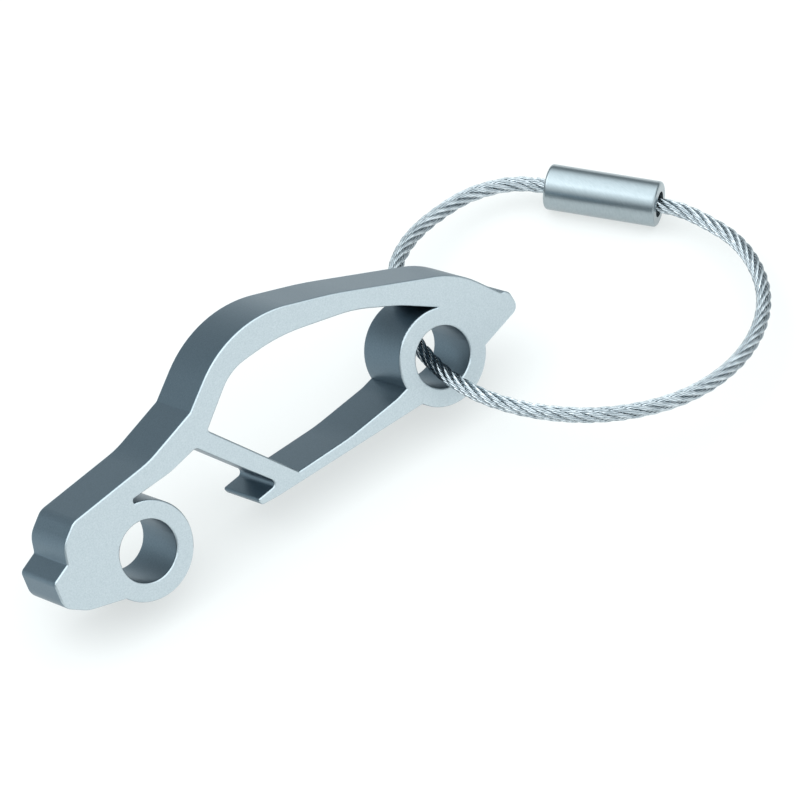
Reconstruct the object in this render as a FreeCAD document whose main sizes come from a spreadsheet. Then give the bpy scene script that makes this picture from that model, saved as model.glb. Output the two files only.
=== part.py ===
"""A pocket bottle opener cut to the outline of a sports car, on a wire-rope key loop with a screw clasp.

Units are millimetres. The car body leans back on its two wheel rims, as it does when the loop threaded
through its rear wheel lies on a table. X runs from the nose to the tail, Z is up, and the origin is on
the table under the middle of the car body.
"""
import FreeCAD, Part
import math
import os
import Sketcher
from FreeCAD import Placement, Rotation, Vector

DIMENSIONS = {
    # Car body, measured in its own flat plane
    "wheelbase": 47.1,
    "wheel_radius": 6.45,
    "wheel_bore_radius": 4.0,
    "body_thickness": 8.8,
    "edge_round": 0.25,
    "lean_degrees": 28.0,
    # Wire rope
    "rope_radius": 1.0,
    # Screw clasp, measured along its axis from the closed end of the sleeve
    "sleeve_radius": 3.0,
    "sleeve_length": 15.0,
    "sleeve_round": 0.4,
    "shoulder_length": 2.0,
    "shoulder_bore_radius": 1.35,
    "cavity_radius": 1.75,
    "thread_start": 12.4,
    "thread_length": 1.5,
    "thread_radius": 1.6,
    "thread_play": 0.05,
    "mouth_radius": 1.7,
    # Terminals crimped to the two ends of the rope
    "plug_barrel_radius": 1.45,
    "plug_barrel_length": 3.4,
    "stop_radius": 1.6,
    "stop_length": 4.0,
    "stop_play": 0.05,
    "stop_bore_radius": 1.05,
}

# Where the closed end of the sleeve lies, and the way its axis points: flat on the table, from the closed
# end to the open one
CLASP_END = Vector(56.9, 12.3, DIMENSIONS["sleeve_radius"])
CLASP_AXIS = Vector(2, -3, 0).normalize()

# Points that the middle of the rope bends towards, from inside the threaded plug, out of the sleeve's open
# end, round through the rear wheel and back into the sleeve's closed end. The first two and the last two
# lie on the clasp's axis.
ROPE_ROUTE = [
    (62.1, 4.5, 3.0),
    (67.5, -3.6, 3.0),
    (68.1, -13.7, 3.6),
    (63.4, -23.7, 4.9),
    (54.5, -30.2, 6.3),
    (43.6, -32.0, 7.7),
    (33.4, -28.1, 8.5),
    (26.2, -20.6, 8.8),
    (22.9, -10.7, 8.0),
    (24.4, 0.6, 6.6),
    (28.9, 10.5, 6.3),
    (36.2, 16.3, 5.0),
    (46.2, 18.4, 3.8),
    (54.9, 15.3, 3.0),
    (59.9, 7.8, 3.0),
]
BEND_SHARE = 0.45


def fill_sheet(document):
    """Put every driving dimension in a cell of its own, under its own name."""
    sheet = document.addObject("Spreadsheet::Sheet", "dimensions")
    for row, (name, value) in enumerate(DIMENSIONS.items(), start=1):
        sheet.set(f"A{row}", name)
        sheet.set(f"B{row}", str(value))
        sheet.setAlias(f"B{row}", name)
    document.recompute()
    return sheet


def origin_plane(body, role):
    """Return one of a body's own origin planes."""
    return next(plane for plane in body.Origin.OriginFeatures if plane.Role == role)


def side_sketch(body, name):
    """Start a sketch in the body's side plane: sketch X is the car's length, sketch Y its height."""
    sketch = body.newObject("Sketcher::SketchObject", name)
    sketch.AttachmentSupport = [(origin_plane(body, "XZ_Plane"), "")]
    sketch.MapMode = "FlatFace"
    return sketch


def rounded_outline(corners):
    """A closed outline of straight sides, each corner (x, y, radius) rounded by an arc tangent to both sides."""
    places = [Vector(x, y, 0) for x, y, _ in corners]
    segments = []
    leaving = []
    for index, (x, y, radius) in enumerate(corners):
        corner = places[index]
        back = (places[index - 1] - corner).normalize()
        ahead = (places[(index + 1) % len(corners)] - corner).normalize()
        half_opening = back.getAngle(ahead) / 2
        reach = radius / math.tan(half_opening)
        middle = (back + ahead).normalize() * (radius / math.sin(half_opening) - radius)
        leaving.append((corner + back * reach, corner + middle, corner + ahead * reach, radius))
    for index, (start, middle, end, radius) in enumerate(leaving):
        if radius:
            segments.append(Part.Arc(start, middle, end))
        segments.append(Part.LineSegment(end, leaving[(index + 1) % len(corners)][0]))
    return segments


def add_contour(sketch, segments):
    """Add a closed chain of segments and tie each one's end to the start of the next."""
    chain = []
    for segment in segments:
        index = sketch.addGeometry(segment, False)
        turned = sketch.getPoint(index, 1).distanceToPoint(segment.StartPoint) > 1e-6
        chain.append((index, 2, 1) if turned else (index, 1, 2))
    for (here, _, last), (following, first, _) in zip(chain, chain[1:] + chain[:1]):
        sketch.addConstraint(Sketcher.Constraint("Coincident", here, last, following, first))


def add_wheel_circle(sketch, radius_name, wheelbase_name=None):
    """Add a circle whose radius, and distance behind the front wheel, follow the sheet."""
    ahead = DIMENSIONS[wheelbase_name] if wheelbase_name else 0.0
    circle = Part.Circle(Vector(ahead, 0, 0), Vector(0, 0, 1), DIMENSIONS[radius_name])
    index = sketch.addGeometry(circle, False)
    radius = sketch.addConstraint(Sketcher.Constraint("Radius", index, DIMENSIONS[radius_name]))
    sketch.setExpression(f"Constraints[{radius}]", f"dimensions.{radius_name}")
    if wheelbase_name:
        sketch.addConstraint(Sketcher.Constraint("PointOnObject", index, 3, -1))
        reach = sketch.addConstraint(Sketcher.Constraint("DistanceX", -1, 1, index, 3, ahead))
        sketch.setExpression(f"Constraints[{reach}]", f"dimensions.{wheelbase_name}")
    else:
        sketch.addConstraint(Sketcher.Constraint("Coincident", index, 3, -1, 1))


def silhouette():
    """Corners of the car's outline, with their rounding radii, from the tail over the roof and back along the sill.

    Where the outline meets a wheel ring it runs on inside the ring.
    """
    rear = DIMENSIONS["wheelbase"]
    tail = [(rear + 5.0, -2.25, 0), (rear + 12.45, -0.05, 1.2), (rear + 12.1, 2.7, 1.1), (rear + 11.0, 3.0, 0.7)]
    roof = [(rear + 6.6, 8.5, 12.0), (37.0, 15.4, 60.0), (22.4, 20.2, 15.5)]
    bonnet = [(12.6, 12.5, 0.6), (5.0, 10.05, 12.0), (-7.4, 8.75, 2.2), (-9.9, 6.7, 3.0)]
    nose = [(-10.45, 4.4, 0.35), (-13.1, 3.2, 0.8), (-13.2, -0.3, 2.0), (-10.3, -2.35, 4.0)]
    front_wheel = [(-3.5, -4.3, 0), (0.9, 5.5, 0)]
    mouth = [(0.95, 6.95, 0.3), (7.0, 7.2, 10.0), (11.4, 8.1, 0.6), (19.6, -2.0, 0.6)]
    lip = [(16.0, -2.4, 0.3), (16.4, -3.35, 0.5), (18.8, -3.55, 3.0)]
    rear_wheel = [(rear - 4.0, -3.95, 0)]
    return tail + roof + bonnet + nose + front_wheel + mouth + lip + rear_wheel


def cabin_window():
    """Corners of the window: under the roof band, down to the rear wheel, along the sill and up the crossbar."""
    rear = DIMENSIONS["wheelbase"]
    under_roof = [(13.75, 9.2, 0.35), (19.8, 14.3, 7.0), (27.5, 14.7, 25.0), (38.5, 12.1, 20.0), (44.5, 9.1, 20.0)]
    wheel_side = [(rear + 3.1, 5.4, 0), (rear - 5.0, -0.6, 0)]
    sill_top = [(39.0, -1.35, 6.0), (31.0, -2.2, 25.0), (22.75, -2.25, 0.2)]
    return under_roof + wheel_side + sill_top


def pad(body, sketch, name):
    """Thicken a sketch to the body's full thickness, half to each side."""
    feature = body.newObject("PartDesign::Pad", name)
    feature.Profile = sketch
    feature.SideType = "Symmetric"
    feature.setExpression("Length", "dimensions.body_thickness")
    return feature


def make_car_body(document):
    """One casting: the car frame with its two wheel rings, and the opener's lip at the front of the sill."""
    body = document.addObject("PartDesign::Body", "car_body")
    outline = side_sketch(body, "outline")
    add_contour(outline, rounded_outline(silhouette()))
    add_contour(outline, rounded_outline(cabin_window()))
    frame = pad(body, outline, "frame")
    rims = side_sketch(body, "rims")
    add_wheel_circle(rims, "wheel_radius")
    add_wheel_circle(rims, "wheel_radius", "wheelbase")
    rings = pad(body, rims, "rings")
    bores = side_sketch(body, "bores")
    add_wheel_circle(bores, "wheel_bore_radius")
    add_wheel_circle(bores, "wheel_bore_radius", "wheelbase")
    drilled = body.newObject("PartDesign::Pocket", "drilled")
    drilled.Profile = bores
    drilled.SideType = "Symmetric"
    drilled.Type = "ThroughAll"
    document.recompute()
    half = DIMENSIONS["body_thickness"] / 2
    rim_edges = [f"Edge{number}" for number, edge in enumerate(drilled.Shape.Edges, start=1)
                 if all(abs(abs(vertex.Point.y) - half) < 1e-6 for vertex in edge.Vertexes)
                 and abs(edge.CenterOfMass.y) > half - 1e-3]
    eased = body.newObject("PartDesign::Fillet", "eased")
    eased.Base = (drilled, rim_edges)
    eased.setExpression("Radius", "dimensions.edge_round")
    document.recompute()
    solids = (frame, rings, drilled, eased)
    print("car body volume after each step:", [round(step.Shape.Volume, 1) for step in solids])
    return body


def lean_on_table(document, body):
    """Lean the car body back on its wheel rims, and centre it over the origin with its lowest line on the table."""
    lean = Rotation(Vector(1, 0, 0), -DIMENSIONS["lean_degrees"])
    body.Placement = Placement(Vector(), lean)
    document.recompute()
    box = body.Shape.optimalBoundingBox(False)
    body.Placement = Placement(Vector(-box.Center.x, -box.Center.y, -box.ZMin), lean)


def cylinder(document, name, radius, length, start="0"):
    """A cylinder on the clasp's axis: radius, length and distance from the sleeve's closed end are expressions."""
    piece = document.addObject("Part::Cylinder", name)
    piece.setExpression("Radius", radius)
    piece.setExpression("Height", length)
    piece.setExpression(".Placement.Base.z", start)
    return piece


def fused(document, name, pieces):
    """Join pieces into one."""
    union = document.addObject("Part::MultiFuse", name)
    union.Shapes = pieces
    return union


def bored(document, name, base, tool):
    """Cut a tool out of a piece."""
    cut = document.addObject("Part::Cut", name)
    cut.Base = base
    cut.Tool = tool
    return cut


def eased_rims(document, name, base, radius, rims):
    """Round the circular edges found at the given (radius, distance along the axis) pairs."""
    document.recompute()
    numbers = []
    for number, edge in enumerate(base.Shape.Edges, start=1):
        if edge.Curve.TypeId != "Part::GeomCircle":
            continue
        place = (edge.Curve.Radius, edge.Curve.Center.z)
        if any(math.dist(place, rim) < 1e-6 for rim in rims):
            numbers.append((number, radius, radius))
    fillet = document.addObject("Part::Fillet", name)
    fillet.Base = base
    fillet.Edges = numbers
    return fillet


def make_screw_sleeve(document):
    """The clasp's sleeve: a shoulder round the rope at one end, a threaded mouth at the other."""
    size = DIMENSIONS
    barrel = cylinder(document, "sleeve_barrel", "dimensions.sleeve_radius", "dimensions.sleeve_length")
    rope_hole = cylinder(document, "sleeve_rope_hole", "dimensions.shoulder_bore_radius", "dimensions.sleeve_length")
    cavity = cylinder(document, "sleeve_cavity", "dimensions.cavity_radius",
                      "dimensions.thread_start - dimensions.shoulder_length", "dimensions.shoulder_length")
    thread = cylinder(document, "sleeve_thread", "dimensions.thread_radius + dimensions.thread_play",
                      "dimensions.thread_length", "dimensions.thread_start")
    mouth = cylinder(document, "sleeve_mouth", "dimensions.mouth_radius",
                     "dimensions.sleeve_length - dimensions.thread_start - dimensions.thread_length",
                     "dimensions.thread_start + dimensions.thread_length")
    hollow = fused(document, "sleeve_hollow", [rope_hole, cavity, thread, mouth])
    shell = bored(document, "sleeve_shell", barrel, hollow)
    rims = [(size["sleeve_radius"], 0.0), (size["sleeve_radius"], size["sleeve_length"])]
    return eased_rims(document, "screw_sleeve", shell, size["sleeve_round"], rims)


def make_threaded_plug(document):
    """The terminal crimped to the rope's first end, screwed into the sleeve's mouth."""
    barrel = cylinder(document, "plug_barrel", "dimensions.plug_barrel_radius", "dimensions.plug_barrel_length",
                      "dimensions.thread_start - dimensions.plug_barrel_length")
    thread = cylinder(document, "plug_thread", "dimensions.thread_radius", "dimensions.thread_length",
                      "dimensions.thread_start")
    body = fused(document, "plug_solid", [barrel, thread])
    rope_start = (Vector(*ROPE_ROUTE[0]) - CLASP_END).dot(CLASP_AXIS)
    socket = cylinder(document, "plug_socket", "dimensions.rope_radius", "dimensions.sleeve_length", str(rope_start))
    return bored(document, "threaded_plug", body, socket)


def make_stop_collar(document):
    """The collar on the rope's other end, which the sleeve's shoulder holds back."""
    start = "dimensions.shoulder_length + dimensions.stop_play"
    collar = cylinder(document, "collar_solid", "dimensions.stop_radius", "dimensions.stop_length", start)
    bore = cylinder(document, "collar_bore", "dimensions.stop_bore_radius", "dimensions.stop_length", start)
    return bored(document, "stop_collar", collar, bore)


def rope_path():
    """The middle of the rope: straight runs between the route's points, joined by tangent arcs."""
    points = [Vector(*point) for point in ROPE_ROUTE]
    edges = []
    radii = []
    here = points[0]
    for before, corner, after in zip(points, points[1:], points[2:]):
        back = before - corner
        ahead = after - corner
        reach = BEND_SHARE * min(back.Length, ahead.Length)
        half_turn = (math.pi - back.getAngle(ahead)) / 2
        radius = reach / math.tan(half_turn)
        back.normalize()
        ahead.normalize()
        start = corner + back * reach
        end = corner + ahead * reach
        middle = corner + (back + ahead).normalize() * (radius / math.cos(half_turn) - radius)
        edges.append(Part.LineSegment(here, start).toShape())
        edges.append(Part.Arc(start, middle, end).toShape())
        radii.append(round(radius, 1))
        here = end
    edges.append(Part.LineSegment(here, points[-1]).toShape())
    print("rope bend radii:", radii)
    return Part.Wire(edges)


def make_rope(document, sheet):
    """The wire rope as one plain round tube along its path."""
    radius = sheet.get("rope_radius")
    path = rope_path()
    first, second = Vector(*ROPE_ROUTE[0]), Vector(*ROPE_ROUTE[1])
    section = Part.Wire(Part.makeCircle(radius, first, second - first))
    rope = document.addObject("Part::Feature", "rope")
    rope.Shape = path.makePipeShell([section], True, False)
    expected = math.pi * radius ** 2 * path.Length
    print(f"rope length {path.Length:.1f}, volume {rope.Shape.Volume:.1f}, section times length {expected:.1f}")
    return rope


def check(document, pieces):
    """Stop if any object failed or any piece is not one valid solid."""
    for item in document.Objects:
        if "Invalid" in item.State or "Error" in item.State:
            raise RuntimeError(f"{item.Name} failed: {item.State}")
    for piece in pieces:
        shape = piece.Shape
        if shape.isNull() or not shape.isValid() or len(shape.Solids) != 1:
            raise RuntimeError(f"{piece.Label} is not one valid solid")


def main():
    document = FreeCAD.newDocument("key_ring_opener")
    sheet = fill_sheet(document)
    body = make_car_body(document)
    lean_on_table(document, body)
    clasp = [make_screw_sleeve(document), make_threaded_plug(document), make_stop_collar(document)]
    for piece in clasp:
        piece.Placement = Placement(CLASP_END, Rotation(Vector(0, 0, 1), CLASP_AXIS))
    rope = make_rope(document, sheet)
    pieces = [body, rope] + clasp
    for piece in pieces:
        piece.Label = piece.Name
    document.recompute()
    check(document, pieces)
    os.makedirs("parts", exist_ok=True)
    for piece in pieces:
        piece.Shape.exportStep(f"parts/{piece.Label}.step")


main()
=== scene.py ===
"""Looks for the key ring: a pearl-chrome bottle opener in a sports car's outline, on a wire-rope loop.

Everything is in metres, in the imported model's own frame. The car body, the clasp's sleeve, the threaded
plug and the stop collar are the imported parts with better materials. The rope's plain tube is replaced by its
twisted strands.
"""

import math

import bmesh
import bpy
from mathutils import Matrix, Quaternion, Vector


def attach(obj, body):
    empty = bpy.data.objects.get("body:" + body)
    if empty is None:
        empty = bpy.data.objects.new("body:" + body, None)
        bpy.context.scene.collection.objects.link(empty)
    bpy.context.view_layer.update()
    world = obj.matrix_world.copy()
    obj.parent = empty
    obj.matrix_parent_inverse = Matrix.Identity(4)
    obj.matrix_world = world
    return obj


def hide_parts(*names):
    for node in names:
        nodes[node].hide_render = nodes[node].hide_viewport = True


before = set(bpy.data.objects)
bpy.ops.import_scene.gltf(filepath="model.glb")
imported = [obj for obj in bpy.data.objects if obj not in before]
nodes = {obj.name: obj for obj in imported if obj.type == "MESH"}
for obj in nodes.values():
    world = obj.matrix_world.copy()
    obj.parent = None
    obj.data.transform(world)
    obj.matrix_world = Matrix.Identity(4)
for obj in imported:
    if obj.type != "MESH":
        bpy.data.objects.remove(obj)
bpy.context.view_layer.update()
scene = bpy.context.scene

# Camera: where the lens stands, what it points at, and how far it is tipped clockwise
EYE = Vector((-0.27596, -0.43439, 0.57112))
LOOKED_AT = Vector((0.0204, -0.0012, 0.0))
CAMERA_ROLL = math.radians(-6.7)
FOCAL_LENGTH = 274.3

# The way the casting's near face points
LEAN = math.radians(28)
FACE_NORMAL = (0, -math.cos(LEAN), math.sin(LEAN))

# The way the clasp's axis points, from the sleeve's closed end towards its open end, and the turn about Z
# that lays a pattern's X along it
CLASP_AXIS = Vector((2, -3, 0)).normalized()
CLASP_TURN = -math.atan2(CLASP_AXIS.y, CLASP_AXIS.x)

# How far a normal points along FACE_NORMAL on a face that still counts as flat, and on one that is all wall,
# where the casting's painted wall shade is none and where it is full
FLAT_FACE = 0.85
ALL_WALL = 0.15

# Noise values at which a colour has reached its darkest and its lightest
DARKEST = 0.3
LIGHTEST = 0.7

# A Mix node's colour sockets have names that its number sockets also have, so they go by their places
MIX_FIRST_COLOUR = 6
MIX_SECOND_COLOUR = 7
MIX_COLOUR = 2

# Points that the middle of the rope bends towards, from inside the threaded plug, out of the sleeve's open
# end, round through the rear wheel and back into the sleeve's closed end
ROPE_ROUTE = [
    (0.0621, 0.0045, 0.0030),
    (0.0659, -0.0012, 0.0030),
    (0.0673, -0.0053, 0.0031),
    (0.0681, -0.0137, 0.0036),
    (0.0634, -0.0237, 0.0049),
    (0.0545, -0.0302, 0.0063),
    (0.0436, -0.0320, 0.0077),
    (0.0334, -0.0281, 0.0085),
    (0.0262, -0.0206, 0.0088),
    (0.0229, -0.0107, 0.0080),
    (0.0244, 0.0006, 0.0066),
    (0.0289, 0.0105, 0.0063),
    (0.0362, 0.0163, 0.0050),
    (0.0462, 0.0181, 0.0038),
    (0.0510, 0.0171, 0.0034),
    (0.0542, 0.0155, 0.0031),
    (0.0563, 0.0132, 0.0030),
    (0.0599, 0.0078, 0.0030),
]

# The rope's make-up: how far its strands and their wires run in one turn (their lay), and how far their
# middles lie from the middle of what they turn round. A strand is three wires across, and the rope nine.
ROPE_RADIUS = 0.0010
ROPE_LAY = 0.0125
STRANDS = 6
STRAND_OFFSET = ROPE_RADIUS * 2 / 3
WIRE_LAY = 0.0060
WIRES = 6
WIRE_RADIUS = ROPE_RADIUS / 9
WIRE_OFFSET = 2 * WIRE_RADIUS
CORE_RADIUS = ROPE_RADIUS * 0.34
CORE_SIDES = 8
POINTS_A_WIRE = 4
RING_STEP = 0.00027

# Room light, from the horizon to the ceiling, and where it changes, as the sine of the angle up
HORIZON = (0.22, 0.26, 0.28)
CEILING = (1.75, 1.86, 1.90)
HORIZON_TOP = 0.34
CEILING_EDGE = 0.85


def material(name, base, metallic, roughness):
    """A new material and its shader, with its even values set on the shader itself."""
    made = bpy.data.materials.new(name)
    made.use_nodes = True
    shader = made.node_tree.nodes["Principled BSDF"]
    shader.inputs["Base Color"].default_value = (*base, 1)
    shader.inputs["Metallic"].default_value = metallic
    shader.inputs["Roughness"].default_value = roughness
    return made, shader


def add_node(made, kind, **settings):
    """Add a node to a material and set the properties and the inputs named."""
    node = made.node_tree.nodes.new(kind)
    for name, value in settings.items():
        if hasattr(node, name):
            setattr(node, name, value)
        else:
            node.inputs[name.replace("_", " ")].default_value = value
    return node


def link(made, source, output, target, socket):
    """Join one node's output to another node's input."""
    made.node_tree.links.new(source.outputs[output], target.inputs[socket])


def noise(made, scale, detail=2.0, stretch=(1, 1, 1), turn=0.0):
    """Noise with that many cells a metre, stretched along the part's axes after a turn about Z."""
    place = add_node(made, "ShaderNodeTexCoord")
    mapping = add_node(made, "ShaderNodeMapping", Rotation=(0, 0, turn), Scale=stretch)
    grain = add_node(made, "ShaderNodeTexNoise", Scale=scale, Detail=detail)
    link(made, place, "Object", mapping, "Vector")
    link(made, mapping, "Vector", grain, "Vector")
    return grain


def ramp_to(made, grain, low, high, target, socket):
    """Feed a socket with a value or colour between low and high, as the noise goes from dark to light."""
    ramp = add_node(made, "ShaderNodeValToRGB")
    ramp.color_ramp.elements[0].position = DARKEST
    ramp.color_ramp.elements[0].color = (*low, 1)
    ramp.color_ramp.elements[1].position = LIGHTEST
    ramp.color_ramp.elements[1].color = (*high, 1)
    link(made, grain, "Fac", ramp, "Fac")
    link(made, ramp, "Color", target, socket)


def bump_to(made, grain, strength, height, shader):
    """Raise the surface by the noise, to that height in metres."""
    bump = add_node(made, "ShaderNodeBump", Strength=strength, Distance=height)
    link(made, grain, "Fac", bump, "Height")
    link(made, bump, "Normal", shader, "Normal")


def wall_shade_share(made):
    """0 on the casting's two flat faces, 1 on the walls between them, and in between on the rounded edges: how
    much of the walls' painted shade a place gets.
    """
    place = add_node(made, "ShaderNodeTexCoord")
    towards = add_node(made, "ShaderNodeVectorMath", operation="DOT_PRODUCT")
    towards.inputs[1].default_value = FACE_NORMAL
    link(made, place, "Normal", towards, 0)
    size = add_node(made, "ShaderNodeMath", operation="ABSOLUTE")
    link(made, towards, "Value", size, 0)
    share = add_node(made, "ShaderNodeMapRange")
    share.inputs["From Min"].default_value = FLAT_FACE
    share.inputs["From Max"].default_value = ALL_WALL
    link(made, size, "Value", share, "Value")
    return share


def pearl_chrome():
    """Satin pearl chrome, fine-grained: pale on the two flat faces, with painted shade making the walls deeper
    blue-grey to stand in for the dark surroundings they reflect.
    """
    made, shader = material("satin_pearl_chrome", (0.60, 0.67, 0.71), 1.0, 0.38)
    grain = noise(made, 5200, 3.0)
    share = wall_shade_share(made)
    mixed = add_node(made, "ShaderNodeMix", data_type="RGBA")
    ramp_to(made, grain, (0.52, 0.60, 0.635), (0.615, 0.69, 0.725), mixed, MIX_FIRST_COLOUR)
    # Painted shade: the walls' deeper blue-grey stands in for the dark room and shaded hollows the walls
    # reflect, not a different finish
    ramp_to(made, grain, (0.105, 0.158, 0.198), (0.130, 0.190, 0.235), mixed, MIX_SECOND_COLOUR)
    link(made, share, "Result", mixed, "Factor")
    link(made, mixed, MIX_COLOUR, shader, "Base Color")
    bump_to(made, grain, 0.3, 0.00002, shader)
    return made


def satin_steel():
    """The sleeve's satin steel, brushed round its axis."""
    made, shader = material("satin_sleeve_steel", (0.36, 0.41, 0.44), 1.0, 0.28)
    lines = noise(made, 1400, 3.0, (6, 1, 1), CLASP_TURN)
    ramp_to(made, lines, (0.33, 0.385, 0.41), (0.385, 0.44, 0.465), shader, "Base Color")
    bump_to(made, lines, 0.15, 0.00001, shader)
    return made


def wire_steel():
    """Bright drawn wire, a little duller in places."""
    made, shader = material("rope_wire_steel", (0.5, 0.55, 0.58), 1.0, 0.18)
    patches = noise(made, 900, 2.0)
    ramp_to(made, patches, (0.38, 0.43, 0.46), (0.62, 0.67, 0.70), shader, "Base Color")
    return made


def turned_steel():
    """The terminals' plain turned steel."""
    made, shader = material("terminal_turned_steel", (0.50, 0.52, 0.54), 1.0, 0.3)
    lines = noise(made, 2500, 2.0, (8, 1, 1), CLASP_TURN)
    ramp_to(made, lines, (0.40, 0.42, 0.44), (0.56, 0.58, 0.60), shader, "Base Color")
    bump_to(made, lines, 0.2, 0.00001, shader)
    return made


def dress(obj, made):
    """Give a piece one material."""
    obj.data.materials.clear()
    obj.data.materials.append(made)


def new_object(name, data):
    """A new object in the scene."""
    obj = bpy.data.objects.new(name, data)
    scene.collection.objects.link(obj)
    return obj


def make_camera():
    """The camera at the angle of the view to match."""
    data = bpy.data.cameras.new("camera")
    data.sensor_width = 36
    data.lens = FOCAL_LENGTH
    camera = new_object("camera", data)
    aim = (LOOKED_AT - EYE).to_track_quat("-Z", "Y") @ Quaternion((0, 0, 1), CAMERA_ROLL)
    camera.location = EYE
    camera.rotation_mode = "QUATERNION"
    camera.rotation_quaternion = aim
    scene.camera = camera


def rope_line():
    """Points down the middle of the rope, read from a smooth spline along its route."""
    curve = bpy.data.curves.new("rope_line", "CURVE")
    curve.dimensions = "3D"
    curve.resolution_u = 24
    spline = curve.splines.new("NURBS")
    spline.points.add(len(ROPE_ROUTE) - 1)
    for point, place in zip(spline.points, ROPE_ROUTE):
        point.co = (*place, 1)
    spline.order_u = 3
    spline.use_endpoint_u = True
    holder = new_object("rope_line", curve)
    bpy.context.view_layer.update()
    mesh = bpy.data.meshes.new_from_object(holder)
    points = [vertex.co.copy() for vertex in mesh.vertices]
    bpy.data.objects.remove(holder)
    bpy.data.curves.remove(curve)
    bpy.data.meshes.remove(mesh)
    return points


def evenly_spaced(points, step):
    """The same line with points an even distance apart, about one step."""
    lengths = [0.0]
    for here, following in zip(points, points[1:]):
        lengths.append(lengths[-1] + (following - here).length)
    count = round(lengths[-1] / step)
    even = []
    index = 0
    for number in range(count + 1):
        distance = lengths[-1] * number / count
        while index < len(points) - 2 and lengths[index + 1] < distance:
            index += 1
        share = (distance - lengths[index]) / (lengths[index + 1] - lengths[index])
        even.append(points[index].lerp(points[index + 1], share))
    return even


def carried_frames(points):
    """At each point, the line's direction and two directions across it that never twist about it."""
    frames = []
    across = Vector((0, 0, 1))
    for index in range(len(points)):
        ahead = points[min(index + 1, len(points) - 1)]
        behind = points[max(index - 1, 0)]
        along = (ahead - behind).normalized()
        across = (across - along * across.dot(along)).normalized()
        frames.append((along, across, along.cross(across)))
    return frames


def strand_section():
    """A strand's outline, as (radius, angle): the outer halves of six wires, each starting in a groove."""
    outline = []
    share = 2 * math.pi / WIRES
    for wire in range(WIRES):
        for point in range(POINTS_A_WIRE):
            off = share * (point / POINTS_A_WIRE - 0.5)
            reach = max(WIRE_RADIUS ** 2 - (WIRE_OFFSET * math.sin(off)) ** 2, 0)
            radius = WIRE_OFFSET * math.cos(off) + math.sqrt(reach)
            outline.append((radius, share * wire + off))
    return outline


def add_tube(made, rings, groove_every=0):
    """Skin a run of rings of points, close both ends, and keep every so many lengthwise edges sharp."""
    skin = [[made.verts.new(point) for point in ring] for ring in rings]
    around = len(skin[0])
    for ring, following in zip(skin, skin[1:]):
        for index in range(around):
            after = (index + 1) % around
            face = made.faces.new((ring[index], ring[after], following[after], following[index]))
            face.smooth = True
            if groove_every and index % groove_every == 0:
                made.edges.get((ring[index], following[index])).smooth = False
    made.faces.new(reversed(skin[0]))
    made.faces.new(skin[-1])


def strand_rings(points, frames, step, start):
    """The rings of one strand, which starts at that angle round the rope and turns right-handed about it.

    Its wires turn the other way inside it.
    """
    outline = strand_section()
    climb = 2 * math.pi * STRAND_OFFSET / ROPE_LAY
    rings = []
    for index, (along, across, aside) in enumerate(frames):
        angle = 2 * math.pi * index * step / ROPE_LAY + start
        outward = across * math.cos(angle) + aside * math.sin(angle)
        forward = (along + along.cross(outward) * climb).normalized()
        sideways = forward.cross(outward)
        middle = points[index] + outward * STRAND_OFFSET
        twist = -2 * math.pi * index * step * (1 / WIRE_LAY + 1 / ROPE_LAY)
        rings.append([middle + outward * radius * math.cos(turn + twist)
                      + sideways * radius * math.sin(turn + twist) for radius, turn in outline])
    return rings


def core_rings(points, frames):
    """The rings of the plain core that the strands lie round."""
    turns = [2 * math.pi * number / CORE_SIDES for number in range(CORE_SIDES)]
    rings = []
    for point, (_, across, aside) in zip(points, frames):
        spokes = [across * math.cos(turn) + aside * math.sin(turn) for turn in turns]
        rings.append([point + spoke * CORE_RADIUS for spoke in spokes])
    return rings


def make_rope(made_of):
    """Six strands laid right-handed round a core; also the points down the rope's middle, and its length."""
    points = evenly_spaced(rope_line(), RING_STEP)
    frames = carried_frames(points)
    step = (points[1] - points[0]).length
    rope = bmesh.new()
    for strand in range(STRANDS):
        start = 2 * math.pi * strand / STRANDS
        add_tube(rope, strand_rings(points, frames, step, start), POINTS_A_WIRE)
    add_tube(rope, core_rings(points, frames))
    mesh = bpy.data.meshes.new("wire_rope")
    rope.to_mesh(mesh)
    rope.free()
    obj = new_object("wire_rope", mesh)
    dress(obj, made_of)
    length = step * (len(points) - 1)
    return obj, points, length


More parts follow.
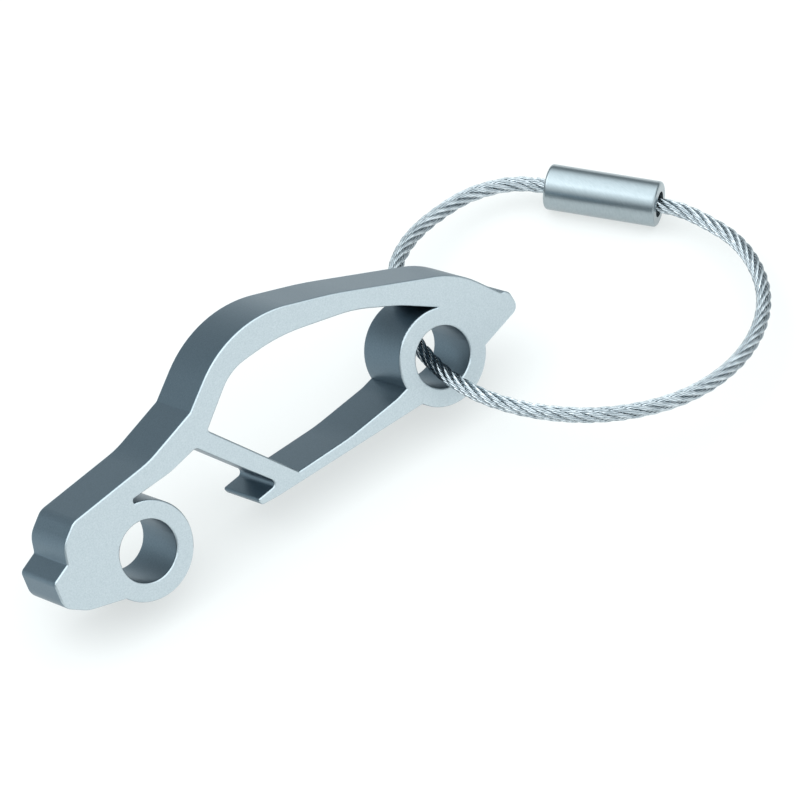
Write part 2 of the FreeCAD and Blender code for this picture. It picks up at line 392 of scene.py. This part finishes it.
def make_floor():
    """A plain white table, lit from inside so that shadows on it stay faint."""
    sheet = bmesh.new()
    bmesh.ops.create_grid(sheet, x_segments=1, y_segments=1, size=3)
    mesh = bpy.data.meshes.new("floor")
    sheet.to_mesh(mesh)
    sheet.free()
    floor = new_object("floor", mesh)
    made, shader = material("lit_table_white", (0.33, 0.335, 0.335), 0.0, 0.9)
    shader.inputs["Specular IOR Level"].default_value = 0.1
    shader.inputs["Emission Color"].default_value = (0.97, 1, 0.99, 1)
    shader.inputs["Emission Strength"].default_value = 0.62
    dress(floor, made)


def softbox(name, place, size, power):
    """A rectangular soft light at a place, pointing at the middle of the object."""
    data = bpy.data.lights.new(name, "AREA")
    data.shape = "RECTANGLE"
    data.size, data.size_y = size
    data.energy = power
    light = new_object(name, data)
    light.location = place
    light.rotation_euler = (LOOKED_AT - Vector(place)).to_track_quat("-Z", "Y").to_euler()


def light_studio():
    """A room bright overhead and dark round the horizon, a soft light high behind and a low front panel."""
    world = bpy.data.worlds.new("room")
    scene.world = world
    world.use_nodes = True
    place = add_node(world, "ShaderNodeTexCoord")
    parts = add_node(world, "ShaderNodeSeparateXYZ")
    link(world, place, "Generated", parts, "Vector")
    ceiling = add_node(world, "ShaderNodeValToRGB")
    ceiling.color_ramp.elements[0].position = HORIZON_TOP
    ceiling.color_ramp.elements[0].color = (*HORIZON, 1)
    ceiling.color_ramp.elements[1].position = CEILING_EDGE
    ceiling.color_ramp.elements[1].color = (*CEILING, 1)
    link(world, parts, "Z", ceiling, "Fac")
    link(world, ceiling, "Color", world.node_tree.nodes["Background"], "Color")
    softbox("top_light", (-0.5, 0.5, 0.9), (0.9, 0.9), 3.5)
    softbox("front_panel", (0.35, -0.8, 0.25), (0.8, 0.5), 1.0)


scene.view_settings.view_transform = "Standard"
make_camera()
rope, rope_points, rope_length = make_rope(wire_steel())
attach(rope, "loop")
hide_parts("rope")
terminal_steel = turned_steel()
dress(nodes["car_body"], pearl_chrome())
dress(nodes["screw_sleeve"], satin_steel())
dress(nodes["threaded_plug"], terminal_steel)
dress(nodes["stop_collar"], terminal_steel)
make_floor()
light_studio()
